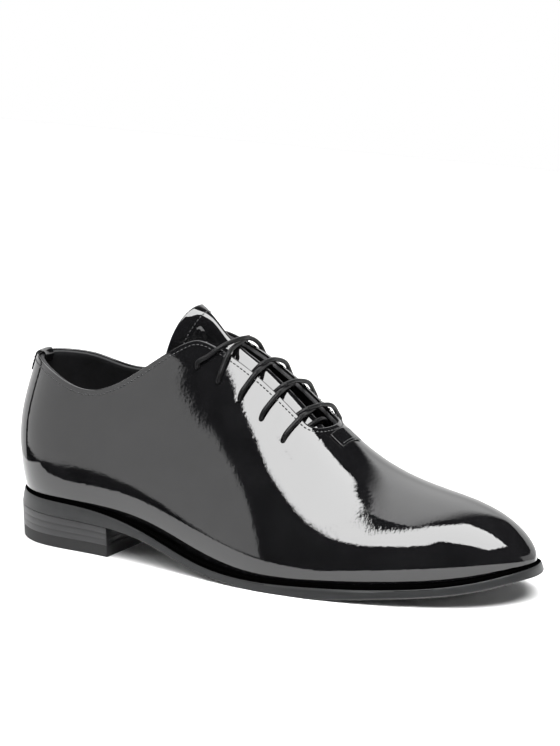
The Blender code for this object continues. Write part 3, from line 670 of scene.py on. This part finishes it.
def punch_holes(piece):
    """Round holes at the eyelets, walled and closed in matt near-black: the leather's own black, deepened
    as painted shade.
    """
    radius = HOLE / 2 / MM
    outer_face = -0.9 / MM                                      # its points lie above this, along the hole
    bm = bmesh.new()
    bm.from_mesh(piece.data)
    for centre, out in zip(row_point(EYES), EYE_NORMALS):
        centre, out = Vector(centre), Vector(out)

        def off_axis(v):
            along = (v.co - centre).dot(out)
            return (v.co - centre - out * along), along
        inside = []
        for v in [v for v in bm.verts if (v.co - centre).length < 6 / MM]:
            flat, along = off_axis(v)
            if flat.length < radius and along > outer_face:
                inside.append(v)
        around = {e.other_vert(v) for v in inside for e in v.link_edges} - set(inside)
        bmesh.ops.delete(bm, geom=inside, context='VERTS')
        rim_edges = [e for v in around if v.is_valid for e in v.link_edges if e.is_boundary]
        rim_edges = list({e for e in rim_edges if (e.verts[0].co - centre).length < 5 / MM
                          and off_axis(e.verts[0])[1] > outer_face})
        for v in {v for e in rim_edges for v in e.verts}:
            flat, along = off_axis(v)
            v.co = centre + out * along + flat.normalized() * radius
        # walls, then a bottom that closes the hole, in the matt near-black: painted shade
        for deeper in (0.3, 1.15):
            made = bmesh.ops.extrude_edge_only(bm, edges=rim_edges)["geom"]
            for face in [g for g in made if isinstance(g, bmesh.types.BMFace)]:
                face.material_index = 1
            rim_edges = [g for g in made if isinstance(g, bmesh.types.BMEdge)]
            for v in [g for g in made if isinstance(g, bmesh.types.BMVert)]:
                flat, along = off_axis(v)
                v.co = centre + out * (-DIMPLE - deeper) / MM + flat.normalized() * radius
        for face in bmesh.ops.holes_fill(bm, edges=rim_edges, sides=0)["faces"]:
            face.material_index = 1
    bm.to_mesh(piece.data)
    bm.free()


def make_edge_stitching():
    """One line of stitches round the opening, from one side of the back tab to the other."""
    beside_tab, throat_bend = 0.5, 6.38
    steps = spaced((0.0, throat_bend, 500), (throat_bend, THROAT, 120))
    points, outs = edge_loop(steps)
    line = points - into_opening(points, outs) * STITCH_INSET
    start = int(np.argmax(steps > beside_tab))
    stop = len(line) - start
    stitching("edge_stitching", [stitch_row(line[start:stop], outs[start:stop])], "shoe")


def seat_angle(s, depth, lift):
    """Angle at which a layer comes down to a height above the feather edge, or 0 if it is lower."""
    a = np.linspace(0, 1, 401)
    height = skin(s, a, depth)[:, 2] - FEATHER(s)
    return float(np.interp(-lift, -height, a)) if height[0] > lift else 0.0


def toe_end(depth, lift):
    """Section in the toe at which a layer has come down to a height above the feather edge."""
    s = np.linspace(9, 11.9, 300)
    height = skin(s, 0.0, depth)[:, 2] - FEATHER(s)
    return float(np.interp(-lift, -height, s)) + 0.001


def make_lining():
    """Lining with a lip that closes the gap to the upper at the cut edge."""
    end = toe_end(INSIDE, LINING_LIFT)
    sections = spaced((0, 4.4, 60), (4.4, 6.3, 40), (6.3, THROAT, 16), (THROAT, end - 0.3, 30),
                      (end - 0.3, end, 6))
    outer, inner = [], []
    for side in (-1, 1):
        for depth, rows in ((LINING_DEPTH, outer), (INSIDE, inner)):
            grid = []
            for s in sections:
                edge, low = opening(s, side), seat_angle(s, INSIDE, LINING_LIFT)
                grid.append(skin(s, side * (low + (edge - low) * np.linspace(0, 1, 22)), depth))
            rows.append(np.array(grid))
    points, outs = edge_loop(sections[sections <= THROAT])
    across = into_opening(points, outs)
    lip = []
    for back, depth in ((0, INSIDE), (-0.25, INSIDE - 0.15), (-0.35, INSIDE - 0.6), (-0.3, 2.4),
                        (-0.1, 1.9), (0.2, 1.7), (0.8, 1.7), (0.8, 2.6), (0, LINING_DEPTH)):
        lip.append(points - across * back - outs * depth)
    lip = np.array(lip)
    lip = np.concatenate([lip, lip[:, :1]], axis=1)
    bottoms = [np.stack([o[:, 0], i[:, 0]]) for o, i in zip(outer, inner)]
    lining = raw_mesh("lining_leather", *patchwork(*outer, *inner, lip, *bottoms), calf, weld=0.00003)
    return stands_for(lining, "shoe", "lining_leather", "lining")


# ---- the tongue ----
def tongue_depth(s, a):
    """The tongue stands up above the topline, lies low under the lace and dips under the facings."""
    step = (s - TONGUE_TOP) / TONGUE_STEP
    crown, side = TONGUE_CROWN(step), TONGUE_SIDE(step)
    round_top = np.minimum(np.abs(a) / 0.42, 1)**2
    flat_top = ease(np.abs(a) / 0.20)
    return crown + (side - crown) * (round_top + (flat_top - round_top) * ease(step - 0.2))


def tongue_place(s, part):
    """Point of the tongue's upper face; part goes from -1 to 1 across it."""
    a = part * np.interp(s, [TONGUE_TOP, 4.5, TONGUE_END], [0.43, 0.47, 0.22])
    back = (0.07 - 0.32 * np.abs(part)**1.3) * (1 - ease((s - TONGUE_TOP) / 0.8))
    return skin(s + back, a, tongue_depth(s, a))


def tongue_normal(s, part):
    step = 0.01
    n = np.cross(tongue_place(s + step, part) - tongue_place(s - step, part),
                 tongue_place(s, part + step) - tongue_place(s, part - step))
    return n / np.linalg.norm(n, axis=-1, keepdims=True)


def tongue_face(s, part, under=0.0):
    """Point under the tongue's upper face."""
    return tongue_place(s, part) - tongue_normal(s, part) * under


def make_tongue():
    """Tongue and its lining; the points of a row stand closer in its middle."""
    part = np.linspace(-1, 1, 61)
    part = 0.6 * part + 0.4 * part**3
    sections = np.linspace(TONGUE_TOP, TONGUE_END, 110)
    tongue = raw_mesh("tongue_leather", *patchwork([tongue_face(s, part) for s in sections]), patent)
    face_out(tongue)
    thicken(tongue, TONGUE, round_edge=0.45)
    stands_for(tongue, "tongue", "patent_leather", "tongue")
    under = TONGUE + GAP + 0.15
    lining = raw_mesh("tongue_lining_leather",
                      *patchwork([tongue_face(s, part[2:-2], under) for s in sections]), calf)
    face_out(lining)
    thicken(lining, TONGUE_LINING, round_edge=0.3)
    stands_for(lining, "tongue", "lining_leather", "tongue_lining")
    seam, across = TONGUE_TOP + 0.16, np.linspace(-0.8, 0.8, 160)
    row = stitch_row(tongue_face(seam, across), tongue_normal(seam, across))
    stitching("tongue_stitching", [row], "tongue")


# ---- back tab and throat ----
def make_back_tab():
    """A strap over the top of the back seam, sewn down along its two sides and its lower end."""
    thick = BACK_TAB * 0.8
    grid = []
    for turn in np.linspace(-0.44, 0.44, 31):
        s, side = abs(turn), -1 if turn < 0 else 1
        edge = float(opening(s, side))
        over = [(0.03, INSIDE + GAP), (0.01, INSIDE + GAP), (0.0, INSIDE + GAP), (-0.010, INSIDE - 0.9),
                (-0.013, UPPER + 0.6), (-0.010, 0.6), (-0.001, -GAP), (0.035, -GAP), (0.075, -GAP)]
        run = np.linspace(0, 1, len(over))
        fine = np.linspace(0, 1, 33)
        below = np.interp(fine, run, [angle for angle, depth in over])
        grid.append(skin(s, side * (edge + below), np.interp(fine, run, [depth for angle, depth in over])))
    tab = raw_mesh("back_tab_leather", *patchwork(grid), patent)
    smoother = tab.modifiers.new("smooth", 'SMOOTH')
    smoother.factor = 0.5
    smoother.iterations = 2
    settle(tab)
    face_out(tab)
    thicken(tab, thick, grow=1, round_edge=0.25)
    stands_for(tab, "shoe", "patent_leather", "back_tab")
    rows = []
    seam = 0.36
    for side in (-1, 1):
        a = side * (float(opening(seam, side)) + np.linspace(0.005, 0.066, 8))
        places = evenly(skin(seam, a, -GAP - thick), STITCH)
        rows.append((places, np.repeat(normal(seam, a)[:1], len(places), 0)))
    low_end = 0.063
    turn = np.linspace(-0.34, 0.34, 40)
    a = np.where(turn < 0, -1, 1) * (opening(np.abs(turn), 1) + low_end)
    rows.append(stitch_row(skin(np.abs(turn), a, -GAP - thick), normal(np.abs(turn), a)))
    stitching("back_tab_stitching", rows, "shoe")


def make_throat_bar():
    """Small reinforcing patch sewn on just below the lacing gap."""
    first, last = 6.72, 6.93
    outer_end, inner_end = -0.13, 0.15
    thick, margin = 0.6, 0.015
    across = np.linspace(outer_end, inner_end, 30)
    patch = raw_mesh("throat_patch",
                     *patchwork([skin(s, across, -GAP) for s in np.linspace(first, last, 22)]), patent)
    face_out(patch)
    thicken(patch, thick, grow=1, round_edge=0.25)
    stands_for(patch, "shoe", "patent_leather", "throat_bar")
    seam, line = last - 0.03, np.linspace(outer_end + margin, inner_end - margin, 40)
    row = stitch_row(skin(seam, line, -GAP - thick), normal(seam, line), step=1.7)
    stitching("throat_stitching", [row], "shoe", length=1.3, thread=0.5)


# ---- the lace ----
def lace_route():
    """One lace: a bar at the lowest pair of eyelets, then both ends cross up to the top pair."""
    over = -(LACE / 2 + GAP + 0.1)
    below = INSIDE + 1.5 + LACE / 2 + 0.1

    def meeting(row):
        """Section at which the two strands of a row cross."""
        return (eye(row, -1)[0] + eye(row, 1)[0]) / 2 + (0.07 if row < ROWS - 2 else -0.02)

    def through(row, side):
        at = eye(row, side)
        return [skin(*at, below), skin(*at, 3.0), skin(*at, -0.5)]

    def over_facing(row, side):
        s, a = eye(row, side)
        gap = side * opening(s, side)
        across = meeting(row)
        return [skin(s + 0.01, a * 0.93, over - 0.3),
                skin(s + (across - s) * 0.4, (a + gap) / 2, over - 0.4),
                skin(s + (across - s) * 0.8, gap * 0.98, over - 0.3)]

    def crossing(row, side):
        """Over the tongue and, but for the last, under the other facing; the inner strand is on top."""
        s_next, a_next = eye(row + 1, -side)
        across = meeting(row)
        gap = side * float(opening(across, side))
        top = side > 0
        middle = [skin(across, gap * 0.5, 0.0 if top else 2.4), skin(across, 0.0, 0.9 if top else 3.9)]
        if row == ROWS - 2:
            return middle + [skin(across - 0.05, -gap * 0.5, 0.4 if top else 2.8),
                             skin(across - 0.15, -gap * 0.98, over - 0.3),
                             skin(across - 0.27, (a_next - gap) / 2, over - 0.3),
                             skin(s_next + 0.01, a_next * 0.95, over - 0.4)]
        return middle + [skin(across - 0.04, -gap * 0.5, 1.9 if top else 4.4),
                         skin(across - 0.09, -gap * 0.86, below - 2.2),
                         skin(across - 0.15, -gap * 1.12, below - 0.3),
                         skin((across + s_next) / 2, (a_next - gap * 1.1) / 2, below)]

    def strand(side):
        route = []
        for row in range(ROWS - 1):
            route += through(row, side) + over_facing(row, side) + crossing(row, side)
            side = -side
        s, a = eye(ROWS - 1, side)
        return route + through(ROWS - 1, side)[::-1] + [skin(s + 0.05, a * 0.8, below + 0.2)]
    bar = [(6.32, -0.33, below), (6.42, -0.22, below - 0.2), (6.47, -0.11, 4.8), (6.49, 0, 3.8),
           (6.48, 0.11, 4.8), (6.44, 0.22, below - 0.2), (6.38, 0.33, below)]
    first = [skin(s, a, depth) for s, a, depth in bar]
    return strand(-1)[::-1] + first + strand(1)


def make_lace():
    lace = cord("lace_waxed", smooth_path(lace_route(), 0.6), LACE - 0.2, 16, lace_material)
    stands_for(lace, "shoe", "waxed_cotton", "lace")


# ---- the bottom ----
SOLE_SECTIONS = spaced((0, 1, 24), (1, 11, 150), (11, LAST, 34))


def cap(sections, out, height, columns):
    """Grid across the sole's outline at a height."""
    grid = []
    for s in sections:
        low, high = plan(s, -1, out(s)), plan(s, 1, out(s))
        row = low + (high - low) * np.linspace(0, 1, columns)[:, None]
        row[:, 2] = height(np.interp(row[:, 0], ALONG(EVERY), EVERY))
        grid.append(row)
    return np.array(grid)


def make_sole():
    """Leather sole whose edge leans out downwards, with its two corners broken."""
    corner, swell = 0.45, 0.12
    top = cap(SOLE_SECTIONS, lambda s: SOLE_EDGE(s) - SOLE_FLARE - corner, sole_top, 25)
    low = cap(SOLE_SECTIONS, lambda s: SOLE_EDGE(s) - corner, sole_low, 25)
    bands = []
    for side in (-1, 1):
        band = []
        for s in SOLE_SECTIONS:
            edge = float(SOLE_EDGE(s))
            column = []
            for turn in np.linspace(0, np.pi / 2, 5):
                column.append((edge - SOLE_FLARE - corner * (1 - math.sin(turn)), 0.0,
                               -corner * (1 - math.cos(turn))))
            for part in np.linspace(0, 1, 9)[1:-1]:
                column.append((edge - SOLE_FLARE * (1 - part) + swell * math.sin(np.pi * part), part, 0.0))
            for turn in np.linspace(np.pi / 2, 0, 5):
                column.append((edge - corner * (1 - math.sin(turn)), 1.0, corner * (1 - math.cos(turn))))
            points = []
            for out, part, extra in column:
                p = plan(s, side, out)
                near = np.interp(p[0], ALONG(EVERY), EVERY)
                p[2] = sole_top(near) * (1 - part) + sole_low(near) * part + extra
                points.append(p)
            band.append(points)
        bands.append(band)
    sole = raw_mesh("outsole_leather", *patchwork(top, low, *bands), sole_edge_leather, weld=0.00003)
    sole.data.materials.append(rand_and_shade_black)
    # the sole's top faces take the matt near-black: painted shade on the strip that stands out under the
    # upper
    for face in sole.data.polygons:
        if face.normal.z > 0.9:
            face.material_index = 1
    stands_for(sole, "shoe", "edge_inked_leather", "outsole")


def heel_layer(name, low, high, flares, material, node, slot):
    """One layer of the heel, flat in front, with its edges just broken."""
    s_breast = float(np.interp(HEEL_BREAST, ALONG(EVERY) + outward(EVERY)[0] * SOLE_EDGE(EVERY), EVERY))
    sections = spaced((0, 1, 26), (1, s_breast, 46))
    grids = []
    for height, flare in ((low, flares[0]), (high, flares[1])):
        grid = cap(sections, lambda s: SOLE_EDGE(s) - flare, height, 9)
        grid[-1][:, 0] = HEEL_BREAST
        grids.append(grid)
    bottom, top = grids
    around = [np.concatenate([g[:, 0], g[-1, 1:], g[::-1, -1][1:]]) for g in (bottom, top)]
    layer = raw_mesh(name, *patchwork(bottom, top, np.array(around)), material, weld=0.00003)
    bevel = layer.modifiers.new("edge", 'BEVEL')
    bevel.width = 0.0002
    bevel.segments = 2
    bevel.limit_method = 'ANGLE'
    bevel.angle_limit = math.radians(40)
    settle(layer)
    soften(layer, 50)
    stands_for(layer, "shoe", slot, node)


def make_heel():
    """Leather lifts close on each other over a rubber top piece, each narrower than the one above it."""
    first, seam, lean = HEEL_TOP_PIECE + GAP, 0.04, 0.15

    def level(s, part):
        return first + (SOLE_BOTTOM(s) - GAP - first) * part
    for k in range(LIFTS):
        heel_layer(f"heel_lift_{k + 1}_leather",
                   lambda s, k=k: level(s, k / LIFTS) + (seam if k else 0.0),
                   lambda s, k=k: level(s, (k + 1) / LIFTS) - (seam if k < LIFTS - 1 else -GAP / 2),
                   (0.5 - lean * k, 0.35 - lean * k), heel_stack_leather, f"heel_lift_{k + 1}",
                   "stacked_leather")
    heel_layer("heel_top_piece_rubber", lambda s: 0 * s, lambda s: 0 * s + HEEL_TOP_PIECE + 0.2,
               (0.8, 0.5), heel_rubber, "heel_top_piece", "heel_rubber")


# ---- camera, light and floor ----
AZIMUTH = math.radians(30.15)
ELEVATION = math.radians(14.56)
TARGET = np.array([150.0, 0.0, 45.0])
DISTANCE = 1900.9                                               # from the target to the camera
AIM_RIGHT, AIM_UP = 4.63, 54.55                                 # middle of the view, from the target
CEILING = 1050.0                                                # height of the lights overhead


def view_axes():
    back = np.array([math.sin(AZIMUTH) * math.cos(ELEVATION), -math.cos(AZIMUTH) * math.cos(ELEVATION),
                     math.sin(ELEVATION)])
    right = np.array([math.cos(AZIMUTH), math.sin(AZIMUTH), 0.0])
    return back, right, np.cross(back, right)


def make_camera():
    back, right, up = view_axes()
    data = bpy.data.cameras.new("camera")
    data.lens = 177.2
    data.sensor_width = 36.0
    camera = bpy.data.objects.new("camera", data)
    bpy.context.scene.collection.objects.link(camera)
    place = Vector(row_point(TARGET + back * DISTANCE))
    aim = Vector(row_point(TARGET + up * AIM_UP + right * AIM_RIGHT))
    camera.location = place
    camera.rotation_euler = (aim - place).to_track_quat('-Z', 'Y').to_euler()
    bpy.context.scene.camera = camera


def panel(name, azimuth, elevation, distance, width, height, radiance):
    """A soft box that faces the shoe; azimuth 0 is in front of its outer side, 90 beyond its toe."""
    data = bpy.data.lights.new(name, 'AREA')
    data.shape = 'RECTANGLE'
    data.size, data.size_y = width, height
    data.energy = 4 * width * height * radiance
    light = bpy.data.objects.new(name, data)
    bpy.context.scene.collection.objects.link(light)
    az, el = math.radians(azimuth), math.radians(elevation)
    towards = Vector((math.sin(az) * math.cos(el), -math.cos(az) * math.cos(el), math.sin(el)))
    light.location = Vector((0.02, 0, 0.05)) + towards * distance
    light.rotation_euler = towards.to_track_quat('Z', 'Y').to_euler()
    light.visible_camera = False
    return light


def ceiling(name, outline, radiance, fade=None):
    """A glowing sheet overhead, with its outline in metres from the middle of the shoe: x to the toe, y
    to the outer side.  Fade is its radiance far behind the shoe, and it then dims at its toe end too.
    """
    paint = bpy.data.materials.new(name)
    paint.use_nodes = True
    tree = paint.node_tree
    tree.nodes.clear()
    glow = add(tree, 'ShaderNodeEmission', {"Color": (1, 1, 1, 1), "Strength": radiance})
    add(tree, 'ShaderNodeOutputMaterial', links={"Surface": glow.outputs[0]})
    if fade:
        place = add(tree, 'ShaderNodeTexCoord').outputs["Object"]
        axes = add(tree, 'ShaderNodeSeparateXYZ', links={"Vector": place})
        depth = add(tree, 'ShaderNodeMapRange', {"From Min": 0.2, "From Max": 2.2, "To Min": radiance,
                                                 "To Max": fade}, {"Value": axes.outputs["Y"]})
        edge = add(tree, 'ShaderNodeMapRange', {"interpolation_type": 'SMOOTHSTEP', "From Min": 0.14,
                                                "From Max": -0.06}, {"Value": axes.outputs["X"]})
        power = add(tree, 'ShaderNodeMath', {"operation": 'MULTIPLY'},
                    {0: depth.outputs["Result"], 1: edge.outputs["Result"]})
        tree.links.new(power.outputs[0], glow.inputs["Strength"])
    sheet = raw_mesh(name, [(HOME[0] + x * MM, HOME[1] - y * MM, CEILING) for x, y in outline],
                     [tuple(range(len(outline)))], paint)
    sheet.visible_camera = False


def light_shoe():
    """Everything that the lacquer mirrors: the large key overhead, screens round it, and a soft wash."""
    ceiling("key_box", [(-0.25, 1.62), (0.02, 1.30), (0.22, 1.05), (0.27, 0.76), (1.05, 0.62),
                        (1.00, -0.24), (0.60, -0.22), (0.19, -0.12), (0.15, 0.05), (0.04, 0.27),
                        (-0.01, 0.55), (-0.10, 0.95)], 11.6)
    ceiling("back_screen", [(-1.0, 0.36), (0.0, 0.36), (0.03, 0.05), (0.14, -0.3), (0.16, -2.4),
                            (-1.0, -2.4)], 3.1, fade=1.3)
    panel("side_screen", -62, 13.5, 1.6, 2.0, 1.5, 1.15)
    for azimuth in (126, 180, 234):
        panel("backdrop", azimuth, 2, 2.5, 2.6, 1.9, 0.95)
    wash = panel("wash", 0, 90, 3.0, 6.0, 6.0, 0.4)
    wash.visible_glossy = False


def white_surroundings():
    """White behind the shoe for the camera, and nearly black in everything that shines."""
    world = bpy.data.worlds.new("studio")
    bpy.context.scene.world = world
    world.use_nodes = True
    tree = world.node_tree
    tree.nodes.clear()
    path = add(tree, 'ShaderNodeLightPath')
    dark = add(tree, 'ShaderNodeBackground', {"Color": (0.008, 0.008, 0.008, 1), "Strength": 1.0})
    white = add(tree, 'ShaderNodeBackground', {"Color": (1, 1, 1, 1), "Strength": 1.0})
    mixed = add(tree, 'ShaderNodeMixShader', links={0: path.outputs["Is Camera Ray"], 1: dark.outputs[0],
                                                    2: white.outputs[0]})
    add(tree, 'ShaderNodeOutputWorld', links={"Surface": mixed.outputs[0]})


def make_floor():
    """A wide white floor that takes the shadow, and a part of it near the shoe that the lacquer mirrors."""
    white_paint, tree, shader = new_material("floor_white", roughness=0.9, specular_ior_level=0.1)
    place = add(tree, 'ShaderNodeTexCoord').outputs["Object"]
    cloud = add(tree, 'ShaderNodeTexNoise', {"Scale": 3.0}, {"Vector": place})
    tree.links.new(ramp(tree, cloud.outputs["Fac"], [(0.3, "#F4F4F4"), (0.7, "#F6F6F6")]),
                   shader.inputs["Base Color"])
    far = [(-1000, -1150), (1300, -1150), (1300, 1150), (-1000, 1150)]
    near = [(-140, -115), (190, -112), (250, -350), (600, -350), (600, 310), (-140, 310)]
    for name, outline, height in (("floor", far, -0.2), ("floor_near", near, 0.0)):
        floor = raw_mesh(name, [(x, y, height) for x, y in outline], [tuple(range(len(outline)))],
                         white_paint)
        floor.visible_glossy = name == "floor_near"


make_camera()
make_upper()
make_edge_stitching()
make_lining()
make_tongue()
make_back_tab()
make_throat_bar()
make_lace()
make_sole()
make_heel()
light_shoe()
white_surroundings()
make_floor()
bpy.context.scene.view_settings.view_transform = 'Standard'
